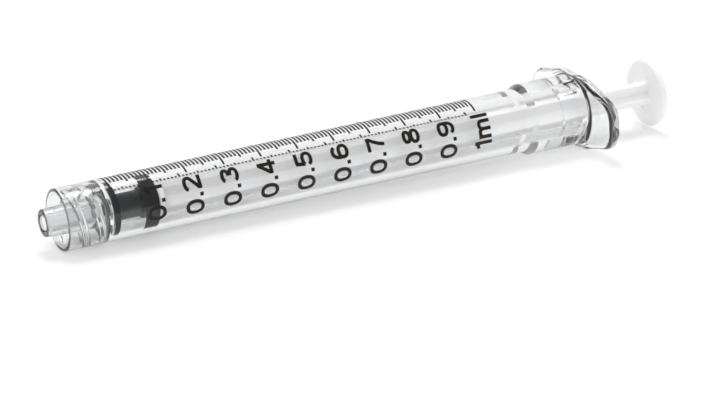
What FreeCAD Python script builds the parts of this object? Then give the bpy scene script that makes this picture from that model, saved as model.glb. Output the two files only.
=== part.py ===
import FreeCAD, Part
import math
import os

# A one millilitre syringe with a locking luer nozzle, lying on its side.
# Millimetres. The origin is the middle of the nozzle's open end, +X runs along
# the syringe to the thumb rest, and +Z is up, square to the finger flange's flats.

# Luer nozzle: a six per cent cone, measured on the diameter
nozzle_end_radius = 1.97
nozzle_taper = 0.06
nozzle_length = 8.4
nozzle_bore_radius = 1.0
nozzle_edge_bevel = 0.2
nozzle_root_bevel = 0.3

# Locking collar round the nozzle, with a two-start internal thread
collar_setback = 2.2
thread_root_radius = 4.0
thread_depth = 0.5
thread_starts = 2
thread_lead = 5.0
thread_turns = 1.0
thread_crest_width = 0.45
thread_flank_angle = 25.0
thread_inset = 0.45
thread_sink = 0.2
collar_wall = 0.45
collar_edge_bevel = 0.15
collar_floor_bevel = 0.3

# Tube, which is a little thinner at the nozzle than at the flange
bore_radius = 2.35
end_wall = 0.95
bore_end_bevel = 0.2
tube_draft = 0.29

# Contents: the side of a cube that holds as much as the scale marks, and the reserve
marked_cube_side = 10.0
reserve_share = 0.12

# Thick sleeve behind the tube, which ends in the finger flange
sleeve_length = 9.5
sleeve_step_height = 0.6
sleeve_step_length = 1.6
sleeve_step_round = 0.45
retainer_height = 0.1
retainer_length = 0.9
retainer_clearance = 0.4
mouth_widening = 0.45
mouth_length = 4.3
mouth_bevel = 0.25

# Finger flange: a six-sided plate with long flats above and below
flange_thickness = 1.75
flange_half_width = 11.6
flange_flat_margin = 0.1
flange_flat_half_width = 3.4
flange_end_half_height = 3.2
flange_shoulder_round = 3.5
flange_corner_round = 3.4
flange_edge_round = 0.35
flange_foot_round = 0.8

# Rubber stopper with two sealing ribs
stopper_length = 7.0
seal_clearance = 0.02
front_rib_width = 1.0
rear_rib_width = 2.3
waist_depth = 0.45
rib_edge_bevel = 0.22
rest_gap = 0.05
socket_wall = 0.75

# Plunger rod: crossed webs between a knob in the stopper and the thumb rest
web_clearance = 0.25
web_thickness = 0.95
web_root_round = 0.3
web_edge_round = 0.15
neck_radius = 0.75
neck_length = 1.3
knob_length = 3.2
knob_nose = 0.9
joint_clearance = 0.05
shoulder_clearance = 0.2
shoulder_length = 0.9
shoulder_bevel = 0.2
rod_reach = 11.35

# Thumb rest
thumb_radius = 5.15
thumb_thickness = 1.15
thumb_edge_bevel = 0.35
thumb_foot_round = 0.9

# Radii and half widths that follow from the sizes above
thread_crest_radius = thread_root_radius - thread_depth
tube_front_radius = thread_root_radius + collar_wall
tube_rear_radius = tube_front_radius + tube_draft
sleeve_radius = tube_rear_radius + sleeve_step_height
flange_half_height = sleeve_radius + flange_flat_margin
mouth_radius = bore_radius + mouth_widening
rib_radius = bore_radius - seal_clearance
waist_radius = rib_radius - waist_depth
web_half_width = bore_radius - web_clearance
shoulder_radius = bore_radius - shoulder_clearance

# Places along the axis that follow from the sizes above
bore_start = nozzle_length + end_wall
scale_length = marked_cube_side ** 3 / (math.pi * bore_radius ** 2)
stroke = scale_length * (1 + reserve_share)
stopper_start = bore_start + rest_gap
stopper_end = stopper_start + stopper_length
retainer_start = stopper_end + stroke + retainer_clearance
mouth_start = retainer_start + retainer_length
barrel_end = mouth_start + mouth_length
flange_start = barrel_end - flange_thickness
sleeve_start = flange_start - sleeve_length
thumb_start = barrel_end + rod_reach

axis_start = FreeCAD.Vector(0, 0, 0)
along_axis = FreeCAD.Vector(1, 0, 0)
shortest_edge = 1e-6


def corner(first, second):
    # A plain corner of an outline
    return first, second, 0, False


def rounded(first, second, radius):
    # A corner with an arc of that radius
    return first, second, radius, True


def bevelled(first, second, cut):
    # A corner cut off by that length along both its sides
    return first, second, cut, False


def closed_wire(points, corners):
    # A wire through the points, each one finished as its corner says
    edges = []
    starts = []
    ends = []
    for index, point in enumerate(points):
        size = corners[index][2]
        is_arc = corners[index][3]
        to_previous = (points[index - 1] - point).normalize()
        to_next = (points[(index + 1) % len(points)] - point).normalize()
        half_angle = to_previous.getAngle(to_next) / 2
        trim = size / math.tan(half_angle) if is_arc else size
        start = point + to_previous * trim
        end = point + to_next * trim
        if is_arc:
            bisector = (to_previous + to_next).normalize()
            middle = point + bisector * (size / math.sin(half_angle) - size)
            edges.append(Part.Arc(start, middle, end).toShape())
        elif size > 0:
            edges.append(Part.LineSegment(start, end).toShape())
        starts.append(start)
        ends.append(end)
    for index, end in enumerate(ends):
        next_start = starts[(index + 1) % len(starts)]
        if (next_start - end).Length > shortest_edge:
            edges.append(Part.LineSegment(end, next_start).toShape())
    return Part.Wire(Part.__sortEdges__(edges))


def turned(corners):
    # A solid turned about the axis from corners given by place along it and radius
    points = [FreeCAD.Vector(place, 0, radius) for place, radius, size, is_arc in corners]
    return Part.Face(closed_wire(points, corners)).revolve(axis_start, along_axis, 360)


def extruded(corners, start, length):
    # A prism along the axis from an outline given by width and height
    points = [FreeCAD.Vector(start, width, height) for width, height, size, is_arc in corners]
    return Part.Face(closed_wire(points, corners)).extrude(along_axis * length)


def barrel_body():
    # Nozzle, collar wall, tube and sleeve as one turned half-section
    nozzle_root_radius = nozzle_end_radius + nozzle_length * nozzle_taper / 2
    retainer_top = retainer_start + retainer_length / 2
    return turned([
        corner(0, nozzle_bore_radius),
        bevelled(0, nozzle_end_radius, nozzle_edge_bevel),
        bevelled(nozzle_length, nozzle_root_radius, nozzle_root_bevel),
        bevelled(nozzle_length, thread_root_radius, collar_floor_bevel),
        bevelled(collar_setback, thread_root_radius, collar_edge_bevel),
        bevelled(collar_setback, tube_front_radius, collar_edge_bevel),
        rounded(sleeve_start, tube_rear_radius, sleeve_step_round),
        rounded(sleeve_start + sleeve_step_length, sleeve_radius, sleeve_step_round),
        corner(barrel_end, sleeve_radius),
        bevelled(barrel_end, mouth_radius, mouth_bevel),
        corner(mouth_start, bore_radius),
        rounded(retainer_top, bore_radius - retainer_height, retainer_length / 4),
        corner(retainer_start, bore_radius),
        bevelled(bore_start, bore_radius, bore_end_bevel),
        corner(bore_start, nozzle_bore_radius),
    ])


def collar_thread():
    # The ridges inside the collar, one solid for each start of the thread
    turn_height = thread_lead * thread_turns
    half_crest = thread_crest_width / 2
    depth = thread_root_radius + thread_sink - thread_crest_radius
    half_base = half_crest + depth * math.tan(math.radians(thread_flank_angle))
    base_radius = thread_root_radius + thread_sink
    section = Part.makePolygon([
        FreeCAD.Vector(thread_crest_radius, 0, -half_crest),
        FreeCAD.Vector(thread_crest_radius, 0, half_crest),
        FreeCAD.Vector(base_radius, 0, half_base),
        FreeCAD.Vector(base_radius, 0, -half_base),
        FreeCAD.Vector(thread_crest_radius, 0, -half_crest),
    ])
    path = Part.makeHelix(thread_lead, turn_height, thread_crest_radius)
    ridge = Part.Wire(path.Edges).makePipeShell([section], True, True)
    ridge.rotate(axis_start, FreeCAD.Vector(0, 1, 0), 90)
    ridge.translate(along_axis * (collar_setback + thread_inset + half_base))
    ridges = []
    for start in range(thread_starts):
        turned_ridge = ridge.copy()
        turned_ridge.rotate(axis_start, along_axis, start * 360 / thread_starts)
        ridges.append(turned_ridge)
    return ridges


def flange_outline():
    # One wing of the plate, and the same turned half round the axis
    corners = []
    for side in (1, -1):
        flat_width = side * flange_flat_half_width
        end_width = side * flange_half_width
        flat_height = side * flange_half_height
        end_height = side * flange_end_half_height
        corners.append(rounded(flat_width, flat_height, flange_shoulder_round))
        corners.append(rounded(end_width, end_height, flange_corner_round))
        corners.append(rounded(end_width, -end_height, flange_corner_round))
        corners.append(rounded(flat_width, -flat_height, flange_shoulder_round))
    return corners


def finger_flange():
    # The plate with its rim rounded over on both faces
    plate = extruded(flange_outline(), flange_start, flange_thickness)
    rims = []
    for edge in plate.Edges:
        if edge.BoundBox.XLength < flange_thickness / 2:
            rims.append(edge)
    plate = plate.makeFillet(flange_edge_round, rims)
    hole_radius = (mouth_radius + sleeve_radius) / 2
    hole = Part.makeCylinder(hole_radius, flange_thickness, axis_start, along_axis)
    hole.translate(along_axis * flange_start)
    return plate.cut(hole)


def flange_foot():
    # The curve from the sleeve into the flange, trimmed where the flats cut across it
    foot_start = flange_start - flange_foot_round
    foot_radius = sleeve_radius + flange_foot_round
    inner_radius = (sleeve_radius + mouth_radius) / 2
    foot = turned([
        corner(foot_start - flange_foot_round, inner_radius),
        corner(foot_start - flange_foot_round, sleeve_radius),
        rounded(flange_start, sleeve_radius, flange_foot_round),
        corner(flange_start, foot_radius),
        corner(flange_start + flange_edge_round, foot_radius),
        corner(flange_start + flange_edge_round, inner_radius),
    ])
    trim = extruded(flange_outline(), foot_start - flange_foot_round, flange_foot_round * 3)
    return foot.common(trim)


def barrel():
    moulding = barrel_body().multiFuse([finger_flange(), flange_foot()]).removeSplitter()
    return moulding.multiFuse(collar_thread())


def stopper():
    # Two ribs that fill the bore, a waist between them, and a socket for the rod's knob
    socket_radius = waist_radius - socket_wall
    socket_end = stopper_end - neck_length + joint_clearance
    socket_start = socket_end - knob_length - 2 * joint_clearance
    front_rib_end = stopper_start + front_rib_width
    rear_rib_start = stopper_end - rear_rib_width
    return turned([
        corner(stopper_start, 0),
        bevelled(stopper_start, rib_radius, rib_edge_bevel),
        bevelled(front_rib_end, rib_radius, rib_edge_bevel),
        corner(front_rib_end + rib_edge_bevel, waist_radius),
        corner(rear_rib_start - rib_edge_bevel, waist_radius),
        bevelled(rear_rib_start, rib_radius, rib_edge_bevel),
        bevelled(stopper_end, rib_radius, rib_edge_bevel),
        corner(stopper_end, neck_radius + joint_clearance),
        corner(socket_end, neck_radius + joint_clearance),
        corner(socket_end, socket_radius),
        corner(socket_start + knob_nose, socket_radius),
        corner(socket_start, neck_radius),
        corner(socket_start, 0),
    ])


def rod_knob():
    # Knob, neck and shoulder that hold the stopper
    knob_radius = waist_radius - socket_wall - joint_clearance
    knob_end = stopper_end - neck_length
    knob_start = knob_end - knob_length
    shoulder_start = stopper_end + joint_clearance
    return turned([
        corner(knob_start, 0),
        corner(knob_start, neck_radius - joint_clearance),
        corner(knob_start + knob_nose, knob_radius),
        corner(knob_end, knob_radius),
        corner(knob_end, neck_radius),
        corner(shoulder_start, neck_radius),
        bevelled(shoulder_start, shoulder_radius, shoulder_bevel),
        bevelled(shoulder_start + shoulder_length, shoulder_radius, shoulder_bevel),
        corner(shoulder_start + shoulder_length, 0),
    ])


def cross_outline(half_width):
    # The four crossed webs, seen along the rod
    half_web = web_thickness / 2
    quarter = [
        (half_web, half_width, web_edge_round),
        (half_web, half_web, web_root_round),
        (half_width, half_web, web_edge_round),
    ]
    corners = []
    for quarter_turn in range(4):
        for width, height, radius in quarter:
            for turn in range(quarter_turn):
                width, height = height, -width
            corners.append(rounded(width, height, radius))
    return corners


def thumb_rest():
    thumb_end = thumb_start + thumb_thickness
    return turned([
        corner(thumb_start, 0),
        bevelled(thumb_start, thumb_radius, thumb_edge_bevel),
        bevelled(thumb_end, thumb_radius, thumb_edge_bevel),
        corner(thumb_end, 0),
    ])


def rod_foot():
    # The webs spread in a curve where they meet the thumb rest
    foot_start = thumb_start - thumb_foot_round
    neck_of_foot = web_half_width - web_edge_round
    foot_radius = neck_of_foot + thumb_foot_round
    thumb_middle = thumb_start + thumb_thickness / 2
    spread = turned([
        corner(foot_start, 0),
        corner(foot_start, neck_of_foot),
        rounded(thumb_start, neck_of_foot, thumb_foot_round),
        corner(thumb_start, foot_radius),
        corner(thumb_middle, foot_radius),
        corner(thumb_middle, 0),
    ])
    webs = extruded(cross_outline(foot_radius + web_edge_round), foot_start, thumb_foot_round * 2)
    return spread.common(webs)


def plunger_rod():
    shaft_start = stopper_end + joint_clearance + shoulder_length / 2
    shaft_length = thumb_start + thumb_thickness / 2 - shaft_start
    shaft = extruded(cross_outline(web_half_width), shaft_start, shaft_length)
    return shaft.multiFuse([rod_knob(), rod_foot(), thumb_rest()]).removeSplitter()


def save(name, shape):
    # Each piece is checked to be one closed solid before it is written
    solids = shape.Solids
    if len(solids) != 1 or not shape.isValid():
        raise ValueError(name + " is not one valid solid")
    solids[0].exportStep(os.path.join("parts", name + ".step"))
    box = shape.BoundBox
    print(name, "volume", round(shape.Volume, 2), "x", round(box.XMin, 3), round(box.XMax, 3))


os.makedirs("parts", exist_ok=True)
save("barrel", barrel())
save("stopper", stopper())
save("plunger_rod", plunger_rod())
print("stroke", round(stroke, 3), "scale", round(scale_length, 3), "zero mark", round(stopper_start, 3))
print("sleeve", round(sleeve_start, 3), "flange", round(flange_start, 3), "end", round(barrel_end, 3))
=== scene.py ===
import math

import bmesh
import bpy
from mathutils import Matrix, Vector, geometry


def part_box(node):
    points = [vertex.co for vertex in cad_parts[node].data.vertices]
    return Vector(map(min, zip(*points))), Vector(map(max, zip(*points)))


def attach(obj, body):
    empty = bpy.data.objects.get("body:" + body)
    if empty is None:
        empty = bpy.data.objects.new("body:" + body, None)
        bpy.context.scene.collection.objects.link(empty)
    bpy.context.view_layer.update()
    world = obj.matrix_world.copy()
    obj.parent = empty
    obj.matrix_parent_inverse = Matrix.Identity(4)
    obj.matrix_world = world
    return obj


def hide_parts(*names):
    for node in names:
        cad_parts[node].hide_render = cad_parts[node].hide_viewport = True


# A clear one millilitre syringe with a locking luer nozzle, lying on a white table.
# Sizes in the dictionaries are millimetres, and mm turns them into Blender's metres.

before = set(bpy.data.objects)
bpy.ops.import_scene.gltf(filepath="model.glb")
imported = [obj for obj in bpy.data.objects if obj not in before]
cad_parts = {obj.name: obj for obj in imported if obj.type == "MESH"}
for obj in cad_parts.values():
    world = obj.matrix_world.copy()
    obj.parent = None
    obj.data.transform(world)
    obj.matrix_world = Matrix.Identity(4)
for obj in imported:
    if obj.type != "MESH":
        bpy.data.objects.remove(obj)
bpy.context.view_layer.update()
mm = 0.001
tiny = 1e-9


def placeAlong(node, corner):
    # Where a piece of the frame starts (0) or ends (1) along the syringe, in millimetres
    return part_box(node)[corner].x / mm


print("frame loaded:", ", ".join(sorted(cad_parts)))


def addObject(name, data):
    made = bpy.data.objects.new(name, data)
    bpy.context.scene.collection.objects.link(made)
    return made


# Helpers for turned shapes

def arcBetween(start, end, centre, steps):
    # Points on the shorter arc from start to end
    first = start - centre
    last = end - centre
    sweep = math.atan2(first.x * last.y - first.y * last.x, first.dot(last))
    points = []
    for step in range(steps + 1):
        turn = Matrix.Rotation(sweep * step / steps, 2)
        points.append(centre + turn @ first)
    return points


def roundedPath(corners, arcSteps=7, hold=0.04, mostHold=0.25):
    # A half-section from corners (x, radius, round, rows on the stretch that follows).
    # Every stretch also gets a row close to each end, which keeps flats flat when shaded.
    pieces = []
    for index, (x, r, rounding, rows) in enumerate(corners):
        here = Vector((x, r))
        if rounding == 0:
            pieces.append([here])
            continue
        toLast = (Vector(corners[index - 1][:2]) - here).normalized()
        toNext = (Vector(corners[(index + 1) % len(corners)][:2]) - here).normalized()
        half = toLast.angle(toNext) / 2
        trim = rounding / math.tan(half)
        centre = here + (toLast + toNext).normalized() * (rounding / math.sin(half))
        pieces.append(arcBetween(here + toLast * trim, here + toNext * trim, centre, arcSteps))
    points = []
    for index, piece in enumerate(pieces):
        points.extend(piece)
        if index == len(pieces) - 1:
            break
        start = piece[-1]
        end = pieces[index + 1][0]
        length = (end - start).length
        margin = min(hold / length, mostHold) if length > 0 else mostHold
        rows = corners[index][3]
        for row in range(rows + 2):
            share = margin + (1 - 2 * margin) * row / (rows + 1)
            points.append(start.lerp(end, share))
    return points


def turnedObject(name, angles, sectionAt, closedSection):
    # Joins one half-section for each angle into a closed skin. An open section starts and
    # ends on the axis, where its points become one.
    mesh = bmesh.new()
    columns = []
    poles = {}
    for angle in angles:
        section = sectionAt(angle)
        column = []
        for row, point in enumerate(section):
            if not closedSection and row in (0, len(section) - 1):
                if row not in poles:
                    poles[row] = mesh.verts.new((point.x * mm, 0, 0))
                column.append(poles[row])
            else:
                y = point.y * math.cos(angle)
                z = point.y * math.sin(angle)
                column.append(mesh.verts.new((point.x * mm, y * mm, z * mm)))
        columns.append(column)
    rowCount = len(columns[0])
    lastRow = rowCount if closedSection else rowCount - 1
    for index, column in enumerate(columns):
        nextColumn = columns[(index + 1) % len(columns)]
        for row in range(lastRow):
            above = (row + 1) % rowCount
            corners = [column[row], column[above], nextColumn[above], nextColumn[row]]
            mesh.faces.new(list(dict.fromkeys(corners)))
    if mesh.calc_volume(signed=True) < 0:
        bmesh.ops.reverse_faces(mesh, faces=mesh.faces)
    for face in mesh.faces:
        face.smooth = True
    data = bpy.data.meshes.new(name)
    mesh.to_mesh(data)
    mesh.free()
    return addObject(name, data)


def evenAngles(count):
    return [2 * math.pi * step / count for step in range(count)]


def applyModifiers(piece):
    # Turns what the modifiers make into a plain mesh and takes them off
    graph = bpy.context.evaluated_depsgraph_get()
    graph.update()
    made = bpy.data.meshes.new_from_object(piece.evaluated_get(graph), depsgraph=graph)
    made.name = piece.name
    piece.modifiers.clear()
    piece.data = made


def setInputs(modifier, values):
    # Inputs of a node tree by their names, set through the sockets' identifiers
    for item in modifier.node_group.interface.items_tree:
        if item.item_type == "SOCKET" and item.in_out == "INPUT" and item.name in values:
            modifier[item.identifier] = values[item.name]


# Helpers for node trees

def addNode(tree, kind, links=None, **settings):
    # A node with its settings, and its inputs joined to sockets or set to values
    node = tree.nodes.new(kind)
    for key, value in settings.items():
        setattr(node, key, value)
    for key, value in (links or {}).items():
        socket = node.inputs[key]
        if isinstance(value, bpy.types.NodeSocket):
            tree.links.new(value, socket)
        else:
            socket.default_value = value
    return node


def mathNode(tree, operation, *values):
    links = dict(enumerate(values))
    return addNode(tree, "ShaderNodeMath", links, operation=operation).outputs[0]


def newTree(name, inputs):
    # A geometry tree with named inputs, given as (name, socket type, default)
    tree = bpy.data.node_groups.new(name, "GeometryNodeTree")
    tree.interface.new_socket("Geometry", in_out="OUTPUT", socket_type="NodeSocketGeometry")
    tree.interface.new_socket("Geometry", in_out="INPUT", socket_type="NodeSocketGeometry")
    for label, kind, value in inputs:
        socket = tree.interface.new_socket(label, in_out="INPUT", socket_type=kind)
        if value is not None:
            socket.default_value = value
    entry = tree.nodes.new("NodeGroupInput")
    leave = tree.nodes.new("NodeGroupOutput")
    return tree, entry.outputs, leave.inputs


def finishTree(tree, made, material, leave):
    # The last steps of every tree: instances become real, and the piece gets its material
    real = addNode(tree, "GeometryNodeRealizeInstances", {"Geometry": made}).outputs[0]
    links = {"Geometry": real, "Material": material}
    dressed = addNode(tree, "GeometryNodeSetMaterial", links).outputs[0]
    tree.links.new(dressed, leave["Geometry"])


# Materials

noiseLow = 0.3
noiseHigh = 0.7
grainDetail = 2.0


def newMaterial(name):
    material = bpy.data.materials.new(name)
    material.use_nodes = True
    shader = material.node_tree.nodes["Principled BSDF"]
    return material, material.node_tree, shader


def noiseOn(tree, scale, detail=3.0, stretch=(1, 1, 1)):
    # Noise on the piece's own coordinates, with scale in features for each metre
    place = addNode(tree, "ShaderNodeTexCoord").outputs["Object"]
    place = addNode(tree, "ShaderNodeMapping", {"Vector": place, "Scale": stretch}).outputs[0]
    links = {"Vector": place, "Scale": scale, "Detail": detail}
    return addNode(tree, "ShaderNodeTexNoise", links).outputs["Fac"]


def linkAll(tree, shader, links):
    for key, socket in links.items():
        tree.links.new(socket, shader.inputs[key])


def spread(tree, value, low, high):
    # Noise, most of which lies between noiseLow and noiseHigh, brought to the range low to high
    links = {"Value": value, "From Min": noiseLow, "From Max": noiseHigh, "To Min": low, "To Max": high}
    return addNode(tree, "ShaderNodeMapRange", links).outputs[0]


def tint(tree, value, first, second):
    ramp = addNode(tree, "ShaderNodeValToRGB", {"Fac": value})
    ramp.color_ramp.elements[0].position = noiseLow
    ramp.color_ramp.elements[0].color = first + (1,)
    ramp.color_ramp.elements[1].position = noiseHigh
    ramp.color_ramp.elements[1].color = second + (1,)
    return ramp.outputs["Color"]


def bump(tree, height, distance, strength):
    links = {"Height": height, "Distance": distance, "Strength": strength}
    return addNode(tree, "ShaderNodeBump", links).outputs["Normal"]


clearPlasticFinish = {
    "paleTint": (0.905, 0.912, 0.914),
    "deepTint": (0.885, 0.893, 0.897),
    "refraction": 1.52,
    "smoothest": 0.06,
    "roughest": 0.11,
    "flowHeight": 0.004,
    "flowStrength": 0.5,
    "flowStretch": (0.12, 1, 1),
    "cloudsPerMetre": 90,
    "hazePerMetre": 700,
    "flowsPerMetre": 500,
}


def clearPlastic():
    # Clear moulded barrel, with faint flow lines along it
    finish = clearPlasticFinish
    material, tree, shader = newMaterial("clearPlastic")
    cloud = noiseOn(tree, finish["cloudsPerMetre"])
    colour = tint(tree, cloud, finish["paleTint"], finish["deepTint"])
    haze = noiseOn(tree, finish["hazePerMetre"])
    roughness = spread(tree, haze, finish["smoothest"], finish["roughest"])
    flow = noiseOn(tree, finish["flowsPerMetre"], stretch=finish["flowStretch"])
    relief = bump(tree, flow, finish["flowHeight"] * mm, finish["flowStrength"])
    linkAll(tree, shader, {"Base Color": colour, "Roughness": roughness, "Normal": relief})
    shader.inputs["Transmission Weight"].default_value = 1.0
    shader.inputs["IOR"].default_value = finish["refraction"]
    return material


rubberFinish = {
    "darkTint": (0.003, 0.004, 0.006),
    "paleTint": (0.006, 0.008, 0.011),
    "smoothest": 0.34,
    "roughest": 0.5,
    "grainHeight": 0.01,
    "grainStrength": 0.4,
    "gloss": 0.35,
    "cloudsPerMetre": 400,
    "grainsPerMetre": 4000,
}


def rubber():
    # Black moulded rubber with a fine grain and a film of silicone
    finish = rubberFinish
    material, tree, shader = newMaterial("stopperRubber")
    cloud = noiseOn(tree, finish["cloudsPerMetre"])
    grain = noiseOn(tree, finish["grainsPerMetre"], grainDetail)
    colour = tint(tree, cloud, finish["darkTint"], finish["paleTint"])
    roughness = spread(tree, cloud, finish["smoothest"], finish["roughest"])
    relief = bump(tree, grain, finish["grainHeight"] * mm, finish["grainStrength"])
    linkAll(tree, shader, {"Base Color": colour, "Roughness": roughness, "Normal": relief})
    shader.inputs["Specular IOR Level"].default_value = finish["gloss"]
    return material


whitePlasticFinish = {
    "paleTint": (0.93, 0.93, 0.93),
    "deepTint": (0.9, 0.902, 0.905),
    "smoothest": 0.32,
    "roughest": 0.45,
    "grainHeight": 0.006,
    "grainStrength": 0.3,
    "glowThrough": 0.15,
    "glowDepth": 0.6,
    "cloudsPerMetre": 150,
    "grainsPerMetre": 2500,
}


def whitePlastic():
    # White moulded rod, satin, with a faint grain from its mould
    finish = whitePlasticFinish
    material, tree, shader = newMaterial("whitePlastic")
    cloud = noiseOn(tree, finish["cloudsPerMetre"])
    grain = noiseOn(tree, finish["grainsPerMetre"], grainDetail)
    colour = tint(tree, cloud, finish["paleTint"], finish["deepTint"])
    roughness = spread(tree, grain, finish["smoothest"], finish["roughest"])
    relief = bump(tree, grain, finish["grainHeight"] * mm, finish["grainStrength"])
    linkAll(tree, shader, {"Base Color": colour, "Roughness": roughness, "Normal": relief})
    shader.inputs["Subsurface Weight"].default_value = finish["glowThrough"]
    shader.inputs["Subsurface Scale"].default_value = finish["glowDepth"] * mm
    return material


inkFinish = {
    "darkTint": (0.007, 0.005, 0.002),
    "paleTint": (0.017, 0.012, 0.004),
    "roughness": 0.5,
    "gloss": 0.3,
    "cloudsPerMetre": 1500,
}


def ink():
    # Dark brown-black printing ink, a little uneven
    finish = inkFinish
    material, tree, shader = newMaterial("scaleInk")
    cloud = noiseOn(tree, finish["cloudsPerMetre"])
    colour = tint(tree, cloud, finish["darkTint"], finish["paleTint"])
    linkAll(tree, shader, {"Base Color": colour})
    shader.inputs["Roughness"].default_value = finish["roughness"]
    shader.inputs["Specular IOR Level"].default_value = finish["gloss"]
    return material


# Barrel: nozzle, threaded collar, tube, sleeve and finger flange in one clear moulding

barrelSizes = {
    "boreRadius": 2.35,
    "endWall": 0.95,  # between the nozzle's root and the bore
    "nozzleBoreRadius": 1.0,
    "nozzleEndRadius": 1.97,
    "nozzleRootRadius": 2.222,
    "nozzleLength": 8.4,
    "tipRound": 0.22,
    "tipBoreRound": 0.5,
    "collarSetback": 2.2,  # behind the nozzle's tip
    "collarRootRadius": 4.0,
    "tubeFrontRadius": 4.45,
    "tubeRearRadius": 4.74,
    "sleeveRadius": 5.34,
    "sleeveLength": 9.5,
    "sleeveStep": 1.1,
    "retainerHeight": 0.1,  # of the low ridge at the bore's open end
    "retainerLength": 0.9,
    "mouthRadius": 2.8,
    "mouthLength": 4.3,
    "flangeThickness": 1.75,
    "flangeFlatHalfWidth": 3.4,
    "flangeEndHalfHeight": 3.2,
    "shoulderRound": 3.5,
    "cornerRound": 3.4,
    "rimRound": 0.8,
    "footRound": 1.1,  # where the flange grows out of the sleeve
    "nozzleRootRound": 0.35,
    "collarFloorRound": 0.3,
    "collarInnerLipRound": 0.12,
    "collarOuterLipRound": 0.24,
    "stepRound": 0.35,
    "mouthRound": 0.3,
    "mouthEndRound": 0.6,
    "retainerRound": 0.3,
    "boreEndRound": 0.2,
    "nozzleBoreEndRound": 0.15,
    "segments": 224,
    "threadRows": 84,
    "nozzleRows": 6,
    "tubeRows": 30,
    "sleeveRows": 5,
    "flangeRows": 4,
    "boreRows": 24,
    "rimSteps": 8,
    "rimShares": (0.04, 0.5, 0.96),
    "wallSlack": 0.05,  # for finding the points of the collar's wall
}

threadSizes = {
    "Root Radius": barrelSizes["collarRootRadius"],
    "Depth": 0.46,
    "Lead": 5.0,
    "Crest Width": 0.35,
    "Root Width": 1.15,
    "First Turn": 3.2,  # the thread's ends, along the syringe
    "Last Turn": 8.2,
    "Fade": 0.35,  # over which the thread dies out at its ends
}
threadStarts = 2

barrelEnd = placeAlong("barrel", 1)
flangeStart = barrelEnd - barrelSizes["flangeThickness"]
sleeveStart = flangeStart - barrelSizes["sleeveLength"]
boreStart = barrelSizes["nozzleLength"] + barrelSizes["endWall"]
mouthStart = barrelEnd - barrelSizes["mouthLength"]
tipMiddle = (barrelSizes["nozzleBoreRadius"] + barrelSizes["nozzleEndRadius"]) / 2
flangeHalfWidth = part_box("barrel")[1].y / mm
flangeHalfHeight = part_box("barrel")[1].z / mm


def rimRadius(angle, inset):
    # How far the six-sided flange reaches at an angle, with its outline moved in by inset
    sizes = barrelSizes
    direction = Vector((abs(math.cos(angle)), abs(math.sin(angle))))
    flatEnd = Vector((sizes["flangeFlatHalfWidth"], flangeHalfHeight))
    wingEnd = Vector((flangeHalfWidth, sizes["flangeEndHalfHeight"]))
    slope = (wingEnd - flatEnd).normalized()
    slopeNormal = Vector((-slope.y, slope.x))
    sides = [(Vector((0, 1)), flatEnd), (slopeNormal, flatEnd), (Vector((1, 0)), wingEnd)]
    reach = math.inf
    for normal, point in sides:
        facing = normal.dot(direction)
        if facing > tiny:
            reach = min(reach, (normal.dot(point) - inset) / facing)
    rounds = [
        (flatEnd, Vector((0, 1)), slopeNormal, sizes["shoulderRound"]),
        (wingEnd, slopeNormal, Vector((1, 0)), sizes["cornerRound"]),
    ]
    for corner, first, second, radius in rounds:
        middle = (first + second).normalized()
        centre = corner - middle * (radius / middle.dot(first))
        along = centre.dot(direction)
        across = centre.length_squared - along ** 2
        if across > (radius - inset) ** 2:
            continue
        hit = along + math.sqrt((radius - inset) ** 2 - across)
        outward = (direction * hit - centre).normalized()
        if outward.dot(middle) >= first.dot(middle) - tiny:
            reach = hit
    return reach


def barrelOutside(angle, footRound, frontRound):
    # From the middle of the nozzle's tip through the collar and back along the tube
    sizes = barrelSizes
    floor = sizes["nozzleLength"]
    lip = sizes["collarSetback"]
    wall = sizes["collarRootRadius"]
    stepEnd = sleeveStart + sizes["sleeveStep"]
    return roundedPath([
        (0, tipMiddle, 0, 0),
        (0, sizes["nozzleEndRadius"], sizes["tipRound"], sizes["nozzleRows"]),
        (floor, sizes["nozzleRootRadius"], sizes["nozzleRootRound"], 0),
        (floor, wall, sizes["collarFloorRound"], sizes["threadRows"]),
        (lip, wall, sizes["collarInnerLipRound"], 0),
        (lip, sizes["tubeFrontRadius"], sizes["collarOuterLipRound"], sizes["tubeRows"]),
        (sleeveStart, sizes["tubeRearRadius"], sizes["stepRound"], 0),
        (stepEnd, sizes["sleeveRadius"], sizes["stepRound"], sizes["sleeveRows"]),
        (flangeStart, sizes["sleeveRadius"], footRound, sizes["flangeRows"]),
        (flangeStart, rimRadius(angle, frontRound), 0, 0),
    ])


def flangeRim(angle, frontRound, backRound):
    # Over the flange's rim, where both rounds follow its six-sided outline moved inwards
    quarter = math.pi / 2
    steps = barrelSizes["rimSteps"]
    rows = []
    for step in range(1, steps + 1):
        turn = quarter * step / steps
        inset = frontRound * (1 - math.sin(turn))
        rows.append(Vector((flangeStart + frontRound * (1 - math.cos(turn)), rimRadius(angle, inset))))
    sideStart = rows[-1].x
    sideEnd = barrelEnd - backRound
    for share in barrelSizes["rimShares"]:
        rows.append(Vector((sideStart + (sideEnd - sideStart) * share, rimRadius(angle, 0))))
    for step in range(steps):
        turn = quarter * step / steps
        inset = backRound * (1 - math.cos(turn))
        rows.append(Vector((sideEnd + backRound * math.sin(turn), rimRadius(angle, inset))))
    return rows


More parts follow.
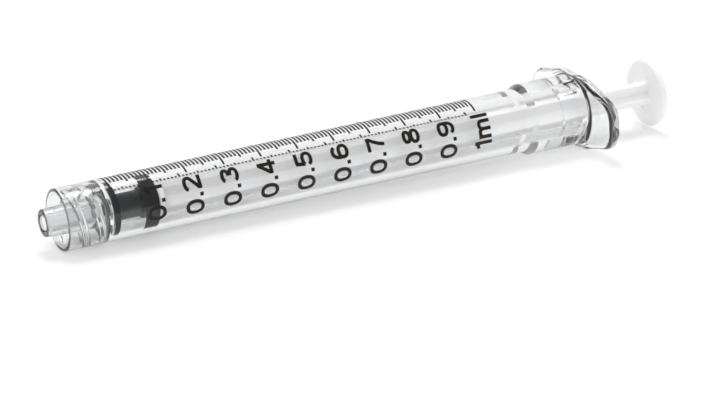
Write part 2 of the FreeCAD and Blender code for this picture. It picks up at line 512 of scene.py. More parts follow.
def barrelInside(angle, backRound):
    # From the flange's back through the mouth and the bore to the middle of the nozzle's tip
    sizes = barrelSizes
    retainerStart = mouthStart - sizes["retainerLength"]
    retainerTop = mouthStart - sizes["retainerLength"] / 2
    return roundedPath([
        (barrelEnd, rimRadius(angle, backRound), 0, sizes["flangeRows"]),
        (barrelEnd, sizes["mouthRadius"], sizes["mouthRound"], 3),
        (mouthStart, sizes["boreRadius"], sizes["mouthEndRound"], 0),
        (retainerTop, sizes["boreRadius"] - sizes["retainerHeight"], sizes["retainerRound"], 0),
        (retainerStart, sizes["boreRadius"], sizes["retainerRound"], sizes["boreRows"]),
        (boreStart, sizes["boreRadius"], sizes["boreEndRound"], 0),
        (boreStart, sizes["nozzleBoreRadius"], sizes["nozzleBoreEndRound"], 3),
        (0, sizes["nozzleBoreRadius"], sizes["tipBoreRound"], 0),
        (0, tipMiddle, 0, 0),
    ])


def barrelSection(angle):
    # Closed half-section. Where the rim stands out less, the flange's front rounds shrink.
    sizes = barrelSizes
    backRound = sizes["rimRound"]
    reach = rimRadius(angle, 0) - sizes["sleeveRadius"]
    room = min(1, reach / (sizes["footRound"] + sizes["rimRound"]))
    frontRound = sizes["rimRound"] * room
    outside = barrelOutside(angle, sizes["footRound"] * room, frontRound)
    rim = flangeRim(angle, frontRound, backRound)
    return outside + rim + barrelInside(angle, backRound)[:-1]


def collarThread():
    # Raises the two-start thread out of the collar's wall, where a point's attribute says so
    tree, entry, leave = newTree("collarThread", [
        *[(label, "NodeSocketFloat", None) for label in threadSizes],
        ("Starts", "NodeSocketInt", None),
        ("Plastic", "NodeSocketMaterial", None),
    ])
    place = addNode(tree, "GeometryNodeInputPosition").outputs[0]
    split = addNode(tree, "ShaderNodeSeparateXYZ", {0: place}).outputs
    turn = mathNode(tree, "ARCTAN2", split[1], mathNode(tree, "MULTIPLY", split[2], -1.0))
    turns = mathNode(tree, "DIVIDE", turn, 2 * math.pi)
    pitch = mathNode(tree, "DIVIDE", entry["Lead"], entry["Starts"])
    alongHelix = mathNode(tree, "MULTIPLY", turns, entry["Lead"])
    fromStart = mathNode(tree, "SUBTRACT", split[0], entry["First Turn"])
    phase = mathNode(tree, "DIVIDE", mathNode(tree, "SUBTRACT", fromStart, alongHelix), pitch)
    nearest = mathNode(tree, "ROUND", phase)
    off = mathNode(tree, "MULTIPLY", mathNode(tree, "SUBTRACT", phase, nearest), pitch)
    centre = mathNode(tree, "SUBTRACT", split[0], off)
    halfCrest = mathNode(tree, "MULTIPLY", entry["Crest Width"], 0.5)
    halfRoot = mathNode(tree, "MULTIPLY", entry["Root Width"], 0.5)
    flank = addNode(tree, "ShaderNodeMapRange", {
        "Value": mathNode(tree, "ABSOLUTE", off),
        "From Min": halfRoot,
        "From Max": halfCrest,
    }, interpolation_type="SMOOTHSTEP").outputs[0]
    begin = addNode(tree, "ShaderNodeMapRange", {
        "Value": centre,
        "From Min": entry["First Turn"],
        "From Max": mathNode(tree, "ADD", entry["First Turn"], entry["Fade"]),
    }, interpolation_type="SMOOTHSTEP").outputs[0]
    finish = addNode(tree, "ShaderNodeMapRange", {
        "Value": centre,
        "From Min": entry["Last Turn"],
        "From Max": mathNode(tree, "SUBTRACT", entry["Last Turn"], entry["Fade"]),
    }, interpolation_type="SMOOTHSTEP").outputs[0]
    wall = addNode(tree, "GeometryNodeInputNamedAttribute", {"Name": "threadWall"}, data_type="FLOAT")
    height = mathNode(tree, "MULTIPLY", mathNode(tree, "MULTIPLY", begin, finish), flank)
    height = mathNode(tree, "MULTIPLY", height, wall.outputs["Attribute"])
    height = mathNode(tree, "MULTIPLY", height, entry["Depth"])
    share = mathNode(tree, "SUBTRACT", 1.0, mathNode(tree, "DIVIDE", height, entry["Root Radius"]))
    moved = addNode(tree, "ShaderNodeCombineXYZ", {
        0: split[0],
        1: mathNode(tree, "MULTIPLY", split[1], share),
        2: mathNode(tree, "MULTIPLY", split[2], share),
    }).outputs[0]
    links = {"Geometry": entry["Geometry"], "Position": moved}
    placed = addNode(tree, "GeometryNodeSetPosition", links).outputs[0]
    finishTree(tree, placed, entry["Plastic"], leave)
    return tree


def makeBarrel(material):
    sizes = barrelSizes
    piece = turnedObject("clearBarrel", evenAngles(sizes["segments"]), barrelSection, True)
    wall = piece.data.attributes.new("threadWall", "FLOAT", "POINT")
    inner = (sizes["collarRootRadius"] - sizes["wallSlack"]) * mm
    outer = (sizes["collarRootRadius"] + sizes["wallSlack"]) * mm
    front = sizes["collarSetback"] * mm
    floor = sizes["nozzleLength"] * mm
    for vertex, value in zip(piece.data.vertices, wall.data):
        radius = math.hypot(vertex.co.y, vertex.co.z)
        value.value = 1.0 if inner < radius < outer and front < vertex.co.x < floor else 0.0
    modifier = piece.modifiers.new("collarThread", "NODES")
    modifier.node_group = collarThread()
    lengths = {key: value * mm for key, value in threadSizes.items()}
    setInputs(modifier, {**lengths, "Starts": threadStarts, "Plastic": material})
    applyModifiers(piece)
    piece.data.attributes.remove(piece.data.attributes["threadWall"])
    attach(piece, "barrel")
    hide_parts("barrel")
    return piece


barrelPiece = makeBarrel(clearPlastic())
print("barrel made:", len(barrelPiece.data.polygons), "faces")


# Stopper: two sealing ribs, pressed a little into the bore, and a waist between them

stopperSizes = {
    "squeeze": 0.03,  # of the ribs into the barrel's wall
    "frontRib": 1.0,
    "rearRib": 2.3,
    "waistRadius": 1.88,
    "ribRound": 0.25,
    "waistRound": 0.1,
    "waistRows": 6,
    "flankLength": 0.25,
    "neckHole": 0.8,
    "neckHoleRound": 0.1,
    "socketRadius": 1.13,
    "socketTipRadius": 0.752,
    "socketFloor": 15.15,  # this and the next two are places along the syringe
    "socketStart": 12.75,
    "socketTip": 11.85,
    "socketRound": 0.05,
    "socketStartRound": 0.2,
    "segments": 160,
}


def stopperSection(angle):
    sizes = stopperSizes
    start = placeAlong("stopper", 0)
    end = placeAlong("stopper", 1)
    rib = barrelSizes["boreRadius"] + sizes["squeeze"]
    frontEnd = start + sizes["frontRib"]
    rearStart = end - sizes["rearRib"]
    return roundedPath([
        (start, 0, 0, 2),
        (start, rib, sizes["ribRound"], 2),
        (frontEnd, rib, sizes["ribRound"], 0),
        (frontEnd + sizes["flankLength"], sizes["waistRadius"], sizes["waistRound"], sizes["waistRows"]),
        (rearStart - sizes["flankLength"], sizes["waistRadius"], sizes["waistRound"], 0),
        (rearStart, rib, sizes["ribRound"], 3),
        (end, rib, sizes["ribRound"], 2),
        (end, sizes["neckHole"], sizes["neckHoleRound"], 1),
        (sizes["socketFloor"], sizes["neckHole"], sizes["socketRound"], 0),
        (sizes["socketFloor"], sizes["socketRadius"], sizes["socketRound"], 2),
        (sizes["socketStart"], sizes["socketRadius"], sizes["socketStartRound"], 1),
        (sizes["socketTip"], sizes["socketTipRadius"], sizes["socketRound"], 0),
        (sizes["socketTip"], 0, 0, 0),
    ])


def makeStopper(material):
    angles = evenAngles(stopperSizes["segments"])
    piece = turnedObject("rubberStopper", angles, stopperSection, False)
    piece.data.materials.append(material)
    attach(piece, "stopper")
    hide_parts("stopper")
    return piece


stopperPiece = makeStopper(rubber())
print("stopper made:", len(stopperPiece.data.polygons), "faces")


# Plunger rod: knob and shoulder, crossed webs and the round thumb rest

rodSizes = {
    "webHalfWidth": 2.1,
    "webHalfThickness": 0.475,
    "webEdgeRound": 0.15,
    "webRootRound": 0.3,
    "neckRadius": 0.75,
    "knobRadius": 1.08,
    "knobNose": 0.9,
    "knobLength": 3.2,
    "neckEnd": 16.45,  # place along the syringe
    "shoulderRadius": 2.15,
    "shoulderLength": 0.9,
    "footRound": 0.9,  # where the webs widen into the thumb rest
    "thumbRadius": 5.15,
    "thumbThickness": 1.15,
    "thumbRound": 0.5,
    "webTurn": 23.0,  # degrees about the syringe's axis
    "neckRound": 0.1,
    "noseRound": 0.2,
    "noseInset": 0.05,
    "shoulderRound": 0.2,
    "footSpread": 0.25,  # thickening of the webs for each millimetre of widening
    "shoulderShare": 0.8,  # of the shoulder's edge that its rear round may take
    "frontArcSteps": 5,
    "shaftRows": 30,
    "footRows": 10,
    "tipSteps": 4,
    "edgeSteps": 6,
    "sideSteps": 7,
    "rootSteps": 5,
}


def circleHit(direction, centre, radius, far):
    # Where a ray from the axis meets a circle, at its far or near side
    along = centre.dot(direction)
    across = centre.length_squared - along ** 2
    depth = math.sqrt(max(radius ** 2 - across, 0))
    return along + depth if far else along - depth


def webRadius(angle, halfWidth, halfThickness):
    # The outline of the crossed webs, as a distance from the axis at an angle
    sizes = rodSizes
    quarter = math.pi / 2
    fromWeb = abs((angle + quarter / 2) % quarter - quarter / 2)
    direction = Vector((math.cos(fromWeb), math.sin(fromWeb)))
    edge = sizes["webEdgeRound"]
    root = sizes["webRootRound"]
    tipCentre = Vector((halfWidth - edge, halfThickness - edge))
    rootCentre = Vector((halfThickness + root, halfThickness + root))
    if direction.y == 0 or halfWidth * direction.y / direction.x <= tipCentre.y:
        return halfWidth / direction.x
    sidePlace = halfThickness * direction.x / direction.y
    if sidePlace >= tipCentre.x:
        return circleHit(direction, tipCentre, edge, True)
    if sidePlace >= rootCentre.x:
        return halfThickness / direction.y
    return circleHit(direction, rootCentre, root, False)


def webAngles():
    # Angles that put points on every round and flat of the webs
    sizes = rodSizes
    halfWidth = sizes["webHalfWidth"]
    halfThickness = sizes["webHalfThickness"]
    edge = sizes["webEdgeRound"]
    tip = math.atan2(halfThickness - edge, halfWidth)
    side = math.atan2(halfThickness, halfWidth - edge)
    root = math.atan2(halfThickness, halfThickness + sizes["webRootRound"])
    eighth = math.pi / 4
    stretches = [
        (0, tip, sizes["tipSteps"]),
        (tip, side, sizes["edgeSteps"]),
        (side, root, sizes["sideSteps"]),
        (root, eighth, sizes["rootSteps"]),
    ]
    half = []
    for start, end, steps in stretches:
        half.extend(start + (end - start) * step / steps for step in range(steps))
    lobe = half + [eighth] + [2 * eighth - angle for angle in reversed(half[1:])]
    turn = math.radians(sizes["webTurn"])
    return [turn + quarter * 2 * eighth + angle for quarter in range(4) for angle in lobe]


def rodSection(angle):
    sizes = rodSizes
    start = placeAlong("plunger_rod", 0)
    thumbEnd = placeAlong("plunger_rod", 1)
    thumbStart = thumbEnd - sizes["thumbThickness"]
    knobEnd = start + sizes["knobLength"]
    shoulderEnd = sizes["neckEnd"] + sizes["shoulderLength"]
    footStart = thumbStart - sizes["footRound"]
    halfThickness = sizes["webHalfThickness"]
    fromWebs = angle - math.radians(sizes["webTurn"])
    web = webRadius(fromWebs, sizes["webHalfWidth"], halfThickness)
    neckRound = sizes["neckRound"]
    room = sizes["shoulderShare"] * (sizes["shoulderRadius"] - web)
    shoulderRound = min(sizes["shoulderRound"], room)
    front = roundedPath([
        (start, 0, 0, 0),
        (start, sizes["neckRadius"] - sizes["noseInset"], neckRound, 0),
        (start + sizes["knobNose"], sizes["knobRadius"], sizes["noseRound"], 0),
        (knobEnd, sizes["knobRadius"], neckRound, 0),
        (knobEnd, sizes["neckRadius"], neckRound, 0),
        (sizes["neckEnd"], sizes["neckRadius"], neckRound, 0),
        (sizes["neckEnd"], sizes["shoulderRadius"], sizes["shoulderRound"], 0),
        (shoulderEnd, sizes["shoulderRadius"], shoulderRound, 0),
        (shoulderEnd, web, 0, 0),
    ], sizes["frontArcSteps"])
    shaft = []
    shaftRows = sizes["shaftRows"]
    for row in range(1, shaftRows + 1):
        shaft.append(Vector((shoulderEnd + (footStart - shoulderEnd) * row / shaftRows, web)))
    for row in range(1, sizes["footRows"] + 1):
        turn = math.pi / 2 * row / sizes["footRows"]
        x = footStart + sizes["footRound"] * math.sin(turn)
        grown = sizes["footRound"] * (1 - math.cos(turn))
        wide = sizes["webHalfWidth"] + grown
        spreadRadius = webRadius(fromWebs, wide, halfThickness + grown * sizes["footSpread"])
        shaft.append(Vector((x, max(web, spreadRadius))))
    back = roundedPath([
        (thumbStart, shaft[-1].y, 0, 2),
        (thumbStart, sizes["thumbRadius"], sizes["thumbRound"], 1),
        (thumbEnd, sizes["thumbRadius"], sizes["thumbRound"], 3),
        (thumbEnd, 0, 0, 0),
    ])
    return front + shaft + back[1:]


def makeRod(material):
    piece = turnedObject("plungerRod", webAngles(), rodSection, False)
    piece.data.materials.append(material)
    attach(piece, "plunger_rod")
    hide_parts("plunger_rod")
    return piece


rodPiece = makeRod(whitePlastic())
print("rod made:", len(rodPiece.data.polygons), "faces")


# Printed scale: a tick for every hundredth of a millilitre, and numerals

scaleSizes = {
    "marks": 101,
    "zeroPlace": 9.4,
    "scaleLength": 57.64,
    "inkHeight": 0.012,  # above the tube
    "barRows": 24,  # rows that let a tick bend round the tube
}

tickSizes = {
    "Line Width": 0.3,
    "Short Near": 5.8,  # ends of the ticks, round the tube from its front line
    "Middle Near": 5.38,
    "Long Near": 4.66,
    "Short Far": 8.0,
    "Middle Far": 8.4,
    "Long Far": 9.1,
}


def wrapOnTube():
    # Lays a flat print on the tube. Flat x runs along the tube, flat y is the length
    # round it from its front line, and flat z is the height above its surface.
    tree, entry, leave = newTree("wrapOnTube", [
        ("Front Radius", "NodeSocketFloat", barrelSizes["tubeFrontRadius"] * mm),
        ("Front Place", "NodeSocketFloat", barrelSizes["collarSetback"] * mm),
        ("Growth", "NodeSocketFloat", 0.0),
        ("Ink", "NodeSocketMaterial", None),
    ])
    place = addNode(tree, "GeometryNodeInputPosition").outputs[0]
    split = addNode(tree, "ShaderNodeSeparateXYZ", {0: place}).outputs
    along = mathNode(tree, "SUBTRACT", split[0], entry["Front Place"])
    grown = mathNode(tree, "MULTIPLY", along, entry["Growth"])
    surface = mathNode(tree, "ADD", entry["Front Radius"], grown)
    angle = mathNode(tree, "DIVIDE", split[1], surface)
    radius = mathNode(tree, "ADD", surface, split[2])
    across = mathNode(tree, "MULTIPLY", radius, mathNode(tree, "COSINE", angle))
    moved = addNode(tree, "ShaderNodeCombineXYZ", {
        0: split[0],
        1: mathNode(tree, "MULTIPLY", across, -1.0),
        2: mathNode(tree, "MULTIPLY", radius, mathNode(tree, "SINE", angle)),
    }).outputs[0]
    links = {"Geometry": entry["Geometry"], "Position": moved}
    placed = addNode(tree, "GeometryNodeSetPosition", links).outputs[0]
    finishTree(tree, placed, entry["Ink"], leave)
    return tree


tubeGrowth = (barrelSizes["tubeRearRadius"] - barrelSizes["tubeFrontRadius"]) / (
    sleeveStart - barrelSizes["collarSetback"])
wrapTree = wrapOnTube()


def scaleTicks():
    # A row of bars whose two ends follow their place in the row, wrapped on the tube
    tree, entry, leave = newTree("scaleTicks", [
        ("Marks", "NodeSocketInt", None),
        ("Spacing", "NodeSocketFloat", None),
        ("First Mark", "NodeSocketFloat", None),
        *[(label, "NodeSocketFloat", None) for label in tickSizes],
        ("Ink Height", "NodeSocketFloat", None),
        ("Growth", "NodeSocketFloat", None),
        ("Ink", "NodeSocketMaterial", None),
    ])
    index = addNode(tree, "GeometryNodeInputIndex").outputs[0]

    def isEvery(count):
        links = {"A": mathNode(tree, "MODULO", index, float(count)), "B": 0.0, "Epsilon": 0.5}
        return addNode(tree, "FunctionNodeCompare", links, operation="EQUAL", data_type="FLOAT").outputs[0]

    isTenth = isEvery(10)
    isFifth = isEvery(5)

    def endOf(side):
        links = {"Switch": isFifth, "False": entry["Short " + side], "True": entry["Middle " + side]}
        common = addNode(tree, "GeometryNodeSwitch", links, input_type="FLOAT").outputs[0]
        links = {"Switch": isTenth, "False": common, "True": entry["Long " + side]}
        return addNode(tree, "GeometryNodeSwitch", links, input_type="FLOAT").outputs[0]

    far = endOf("Far")
    length = mathNode(tree, "SUBTRACT", far, endOf("Near"))
    row = addNode(tree, "GeometryNodeMeshLine", {
        "Count": entry["Marks"],
        "Start Location": addNode(tree, "ShaderNodeCombineXYZ", {0: entry["First Mark"]}).outputs[0],
        "Offset": addNode(tree, "ShaderNodeCombineXYZ", {0: entry["Spacing"]}).outputs[0],
    }).outputs[0]
    raised = addNode(tree, "ShaderNodeCombineXYZ", {1: far}).outputs[0]
    row = addNode(tree, "GeometryNodeSetPosition", {"Geometry": row, "Offset": raised}).outputs[0]
    thickness = mathNode(tree, "MULTIPLY", entry["Ink Height"], 2.0)
    size = addNode(tree, "ShaderNodeCombineXYZ", {0: entry["Line Width"], 1: length, 2: thickness})
    bar = addNode(tree, "GeometryNodeMeshCube", {
        "Size": (1, 1, 1), "Vertices X": 2, "Vertices Y": scaleSizes["barRows"], "Vertices Z": 2,
    }).outputs[0]
    bar = addNode(tree, "GeometryNodeTransform", {"Geometry": bar, "Translation": (0, -0.5, 0)})
    placed = addNode(tree, "GeometryNodeInstanceOnPoints", {
        "Points": row, "Instance": bar.outputs[0], "Scale": size.outputs[0],
    }).outputs[0]
    real = addNode(tree, "GeometryNodeRealizeInstances", {"Geometry": placed}).outputs[0]
    wrap = addNode(tree, "GeometryNodeGroup", node_tree=wrapTree)
    tree.links.new(real, wrap.inputs["Geometry"])
    tree.links.new(entry["Growth"], wrap.inputs["Growth"])
    finishTree(tree, wrap.outputs[0], entry["Ink"], leave)
    return tree


def makeTicks(material):
    sizes = scaleSizes
    piece = addObject("scaleTicks", bpy.data.meshes.new("scaleTicks"))
    modifier = piece.modifiers.new("scaleTicks", "NODES")
    modifier.node_group = scaleTicks()
    setInputs(modifier, {
        "Marks": sizes["marks"],
        "Spacing": sizes["scaleLength"] / (sizes["marks"] - 1) * mm,
        "First Mark": sizes["zeroPlace"] * mm,
        **{label: length * mm for label, length in tickSizes.items()},
        "Ink Height": sizes["inkHeight"] * mm,
        "Growth": tubeGrowth,
        "Ink": material,
    })
    applyModifiers(piece)
    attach(piece, "barrel")
    return piece


inkMaterial = ink()
ticksPiece = makeTicks(inkMaterial)
print("ticks made:", len(ticksPiece.data.polygons), "faces")


numeralSizes = {
    "height": 2.8,
    "digitWidth": 0.8,
    "stroke": 0.19,
    "gap": 0.12,
    "centre": 1.12,  # round the tube from its front line
    "past": 0.12,  # beyond the tick, along the tube
    "cut": 0.15,  # width of the strips that let a numeral bend round the tube
    "squareness": 2.3,  # 2 is a plain ellipse
    "mitreLimit": 0.5,
    "weld": 1e-5,
}


def bow(centre, radii, start, end, steps=18):
    # Points on a slightly squared ellipse, by angles in degrees
    power = 2 / numeralSizes["squareness"]
    points = []
    for step in range(steps + 1):
        angle = math.radians(start + (end - start) * step / steps)
        x = math.copysign(abs(math.cos(angle)) ** power, math.cos(angle))
        y = math.copysign(abs(math.sin(angle)) ** power, math.sin(angle))
        points.append((centre[0] + radii[0] * x, centre[1] + radii[1] * y))
    return points


def glyphStrokes(sign):
    # The middle lines of a sign's strokes and its width, where capitals are 1 high
    half = numeralSizes["stroke"] / 2
    width = numeralSizes["digitWidth"]
    middle = width / 2
    reach = middle - half
    top = 1 - half
    round0 = bow((middle, 0.5), (reach, 0.5 - half), 0, 360, 36)
    six = [
        bow((middle, 0.32), (reach, 0.32 - half), 0, 360, 30),
        bow((middle, 0.5), (reach, 0.5 - half), 190, 38),
    ]
    eightTop = bow((middle, 0.74), (reach * 0.88, 0.26 - half), 0, 360, 30)
    eightEnd = bow((middle, 0.29), (reach, 0.29 - half), 0, 360, 30)
    arch = 0.74 - half
    strokes = {
        "0": [round0],
        "1": [[(0.5, 0), (0.5, 1)], [(0.18, 0.76), (0.3, 0.775), (0.4, 0.82), (0.46, 0.92)]],
        "2": [bow((middle, 0.7), (reach, 0.3 - half), 170, -28) + [(half * 1.3, half * 1.5)],
              [(half * 0.7, half), (width, half)]],
        "3": [bow((middle, 0.735), (reach * 0.9, 0.265 - half), 165, -92),
              bow((middle, 0.285), (reach, 0.285 - half), 92, -165)],
        "4": [[(0.56, 0), (0.56, 1)], [(0.54, 0.93), (half, 0.31)], [(half * 0.4, 0.28), (width, 0.28)]],
        "5": [[(0.17, top), (0.74, top)], [(0.2, top + half * 0.6), (0.14, 0.45)],
              bow((middle, 0.32), (reach, 0.32 - half), 150, -160)],
        "6": six,
        "7": [[(0.02, top), (0.76, top)], [(0.7, 0.86), (0.5, 0.55), (0.38, 0.28), (0.32, 0)]],
        "8": [eightTop, eightEnd],
        "9": [[(width - x, 1 - y) for x, y in stroke] for stroke in six],
        ".": [[(half, 0), (half, numeralSizes["stroke"])]],
        "m": [[(half, 0), (half, 0.74)],
              bow((half + 0.21, arch - 0.2), (0.21, 0.2), 180, 0) + [(half + 0.42, 0)],
              bow((half + 0.63, arch - 0.2), (0.21, 0.2), 180, 0) + [(half + 0.84, 0)]],
        "l": [[(half, 0), (half, 1)]],
    }
    widths = {".": half * 2, "m": half * 2 + 0.84, "l": half * 2, "1": 0.6}
    return strokes[sign], widths.get(sign, width)


def strokeOutline(points):
    # Left and right points beside a middle line, with its corners mitred
    half = numeralSizes["stroke"] / 2
    line = [Vector(point) for point in points]
    closed = (line[0] - line[-1]).length < half / 10
    if closed:
        line.pop()
    sides = []
    for index, point in enumerate(line):
        last = line[index - 1] if closed or index > 0 else point
        following = line[(index + 1) % len(line)] if closed or index < len(line) - 1 else point
        arrive = (point - last if point != last else following - point).normalized()
        depart = (following - point if point != following else point - last).normalized()
        along = (arrive + depart).normalized()
        mitre = max(along.dot(arrive), numeralSizes["mitreLimit"])
        across = Vector((-along.y, along.x)) * (half / mitre)
        sides.append((point + across, point - across))
    return sides, closed


def printedWord(word, place):
    # The flat outline of a word as one clean sheet, which reads up round the tube with
    # the tops of its signs towards the nozzle
    corners = []
    faces = []
    pen = 0
    for sign in word:
        strokes, width = glyphStrokes(sign)
        for stroke in strokes:
            sides, closed = strokeOutline(stroke)
            first = len(corners)
            for left, right in sides:
                corners.extend([Vector((left.x + pen, left.y)), Vector((right.x + pen, right.y))])
            count = len(sides)
            for index in range(count if closed else count - 1):
                here = first + 2 * index
                after = first + 2 * ((index + 1) % count)
                faces.append((here, here + 1, after + 1, after))
        pen += width + numeralSizes["gap"]
    pen -= numeralSizes["gap"]
    insideOnly = 1
    made = geometry.delaunay_2d_cdt(corners, [], faces, insideOnly, numeralSizes["weld"])
    height = numeralSizes["height"]
    sheet = bmesh.new()
    verts = []
    for point in made[0]:
        x = place - (point.y - 0.5) * height
        y = numeralSizes["centre"] + (point.x - pen / 2) * height
        verts.append(sheet.verts.new((x * mm, y * mm, 0)))
    for triangle, source in zip(made[2], made[5]):
        if source:
            sheet.faces.new([verts[index] for index in triangle])
    return sheet


def makeNumerals(material):
    sizes = numeralSizes
    tenth = scaleSizes["scaleLength"] / 10
    words = [f"0.{number}" for number in range(1, 10)] + ["1ml"]
    whole = bmesh.new()
    for index, word in enumerate(words):
        sheet = printedWord(word, scaleSizes["zeroPlace"] + tenth * (index + 1) + sizes["past"])
        data = bpy.data.meshes.new(word)
        sheet.to_mesh(data)
        sheet.free()
        whole.from_mesh(data)
        bpy.data.meshes.remove(data)
    lowest = min(vert.co.y for vert in whole.verts)
    highest = max(vert.co.y for vert in whole.verts)
    cuts = int((highest - lowest) / (sizes["cut"] * mm))
    for cut in range(1, cuts + 1):
        everything = whole.verts[:] + whole.edges[:] + whole.faces[:]
        height = lowest + cut * sizes["cut"] * mm
        bmesh.ops.bisect_plane(whole, geom=everything, plane_co=(0, height, 0), plane_no=(0, 1, 0))
    bmesh.ops.recalc_face_normals(whole, faces=whole.faces)
    data = bpy.data.meshes.new("scaleNumerals")
    whole.to_mesh(data)
    whole.free()
    piece = addObject("scaleNumerals", data)
    thicken = piece.modifiers.new("inkFilm", "SOLIDIFY")
    thicken.thickness = scaleSizes["inkHeight"] * 2 * mm
    thicken.offset = 0
    wrap = piece.modifiers.new("wrapOnTube", "NODES")
    wrap.node_group = wrapTree
    setInputs(wrap, {
        "Front Radius": barrelSizes["tubeFrontRadius"] * mm,
        "Front Place": barrelSizes["collarSetback"] * mm,
        "Growth": tubeGrowth,
        "Ink": material,
    })
    applyModifiers(piece)
    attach(piece, "barrel")
    return piece


numeralsPiece = makeNumerals(inkMaterial)
print("numerals made:", len(numeralsPiece.data.polygons), "faces")


# Table, light and camera

studio = {
    "tableSize": 4.0,
    "tableTilt": 0.68,  # degrees
    "tableUnderCollar": -4.45,
    "collarPlace": 2.5,
    "tablePaint": 0.93,  # for the light that the table gives back
    "seenPaint": 0.7,  # with the glow, for the table as it is seen
    "seenGlow": 0.25,
    "fillLevel": 0.88,  # the room for matt surfaces
    "innerFill": 2.25,  # the room for matt surfaces behind clear plastic
    "frontSide": (0.33, -0.76, 0.56),  # dark patch on the camera's side
    "frontEdge": -0.2,
    "frontMiddle": 0.6,
    "frontShade": 0.65,
    "behindSide": (-0.6, 0.65, 0.35),  # dark patch far behind the nozzle
    "behindEdge": 0.6,
    "behindMiddle": 0.85,
    "behindShade": 0.9,
    "lampPower": 1.6,
    "lampSize": 0.3,
    "lampPlace": (0.12, 0.21, 0.65),
    "aim": (0.04, 0.0, 0.0),
}


def seenRays(tree):
    # First 1 for rays that show the room straight, in a gloss or through the clear plastic,
    # and 0 for those that light a matt surface. Then 1 for camera rays, and 1 for rays that
    # came through the clear plastic.
    path = addNode(tree, "ShaderNodeLightPath").outputs
    seen = mathNode(tree, "MAXIMUM", path["Is Camera Ray"], path["Is Glossy Ray"])
    seen = mathNode(tree, "MAXIMUM", seen, path["Is Transmission Ray"])
    unspread = mathNode(tree, "LESS_THAN", path["Diffuse Depth"], 0.5)
    seen = mathNode(tree, "MULTIPLY", seen, unspread)
    return seen, path["Is Camera Ray"], path["Is Transmission Ray"]


def makeTable():
    # A large white table, tilted as the collar and the flange's flats rest on it
    half = studio["tableSize"] / 2
    slope = math.tan(math.radians(studio["tableTilt"]))
    corners = []
    for x, y in ((-half, -half), (half, -half), (half, half), (-half, half)):
        height = studio["tableUnderCollar"] * mm - (x - studio["collarPlace"] * mm) * slope
        corners.append((x, y, height))
    data = bpy.data.meshes.new("table")
    data.from_pydata(corners, [], [(0, 1, 2, 3)])
    table = addObject("table", data)
    material = bpy.data.materials.new("whiteTable")
    material.use_nodes = True
    tree = material.node_tree
    tree.nodes.clear()
    seen = seenRays(tree)[0]
    level = addNode(tree, "ShaderNodeMapRange", {
        "Value": seen, "To Min": studio["tablePaint"], "To Max": studio["seenPaint"],
    }).outputs[0]
    paint = addNode(tree, "ShaderNodeBsdfDiffuse", {"Color": level}).outputs[0]
    strength = mathNode(tree, "MULTIPLY", seen, studio["seenGlow"])
    glow = addNode(tree, "ShaderNodeEmission", {"Color": (1, 1, 1, 1), "Strength": strength}).outputs[0]
    both = addNode(tree, "ShaderNodeAddShader", {0: paint, 1: glow}).outputs[0]
    addNode(tree, "ShaderNodeOutputMaterial", {"Surface": both})
    data.materials.append(material)


def shadeTowards(tree, direction, side, edge, middle, shade):
    # Rises from 0 at the edge of a round patch of the room to its shade in the middle
    links = {0: direction, 1: Vector(side).normalized()}
    facing = addNode(tree, "ShaderNodeVectorMath", links, operation="DOT_PRODUCT").outputs["Value"]
    links = {"Value": facing, "From Min": edge, "From Max": middle, "To Min": 0.0, "To Max": shade}
    return addNode(tree, "ShaderNodeMapRange", links, interpolation_type="SMOOTHSTEP").outputs[0]


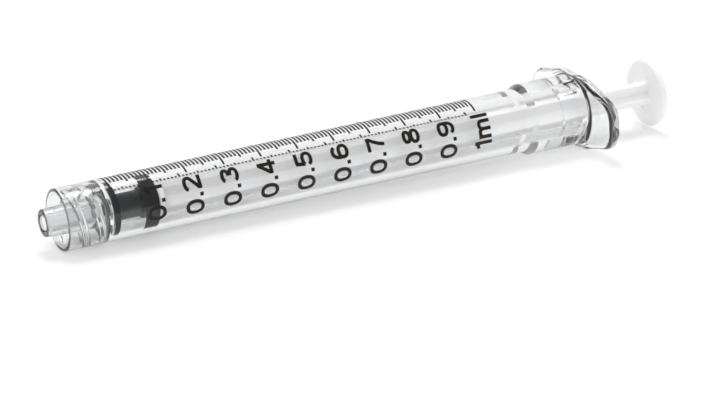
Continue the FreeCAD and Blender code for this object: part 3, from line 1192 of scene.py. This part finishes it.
def makeLight():
    # A white room, darker on the camera's side and far behind the nozzle, and one soft lamp.
    # Light that reaches a matt surface through the clear plastic comes from a brighter room,
    # innerFill, because the rod in the tube renders much darker than the photo's without it.
    world = bpy.data.worlds.new("studio")
    bpy.context.scene.world = world
    world.use_nodes = True
    tree = world.node_tree
    tree.nodes.clear()
    seen, straight, through = seenRays(tree)
    direction = addNode(tree, "ShaderNodeTexCoord").outputs["Generated"]
    front = shadeTowards(tree, direction, studio["frontSide"], studio["frontEdge"],
                         studio["frontMiddle"], studio["frontShade"])
    behind = shadeTowards(tree, direction, studio["behindSide"], studio["behindEdge"],
                          studio["behindMiddle"], studio["behindShade"])
    shade = mathNode(tree, "MAXIMUM", front, behind)
    level = mathNode(tree, "SUBTRACT", 1.0, shade)
    fill = addNode(tree, "ShaderNodeMapRange", {
        "Value": through, "To Min": studio["fillLevel"], "To Max": studio["innerFill"],
    }).outputs[0]
    level = addNode(tree, "ShaderNodeMapRange", {
        "Value": seen, "To Min": fill, "To Max": level,
    }).outputs[0]
    room = addNode(tree, "ShaderNodeBackground", {"Color": level, "Strength": 1.0}).outputs[0]
    backdrop = addNode(tree, "ShaderNodeBackground", {"Color": (1, 1, 1, 1), "Strength": 1.0}).outputs[0]
    mixed = addNode(tree, "ShaderNodeMixShader", {0: straight, 1: room, 2: backdrop})
    addNode(tree, "ShaderNodeOutputWorld", {"Surface": mixed.outputs[0]})
    lamp = bpy.data.lights.new("softLamp", "AREA")
    lamp.shape = "DISK"
    lamp.size = studio["lampSize"]
    lamp.energy = studio["lampPower"]
    lampObject = addObject("softLamp", lamp)
    lampObject.location = studio["lampPlace"]
    toObject = Vector(studio["aim"]) - lampObject.location
    lampObject.rotation_euler = toObject.to_track_quat("-Z", "Y").to_euler()


camera = {
    "place": (-124.179, -343.94, 140.389),
    "right": (0.88662, -0.46065, -0.0414),
    "up": (0.19919, 0.29953, 0.93306),
    "lens": 144.9,
    "sensor": 36.0,
    "nearest": 0.01,
    "farthest": 20.0,
}


def makeCamera():
    lens = bpy.data.cameras.new("camera")
    lens.lens = camera["lens"]
    lens.sensor_width = camera["sensor"]
    lens.clip_start = camera["nearest"]
    lens.clip_end = camera["farthest"]
    view = addObject("camera", lens)
    right = Vector(camera["right"]).normalized()
    up = Vector(camera["up"]).normalized()
    back = right.cross(up).normalized()
    up = back.cross(right)
    turn = Matrix((right, up, back)).transposed().to_4x4()
    view.matrix_world = Matrix.Translation(Vector(camera["place"]) * mm) @ turn
    bpy.context.scene.camera = view


makeTable()
makeLight()
makeCamera()
bpy.context.scene.view_settings.view_transform = "Standard"
print("table, light and camera ready")
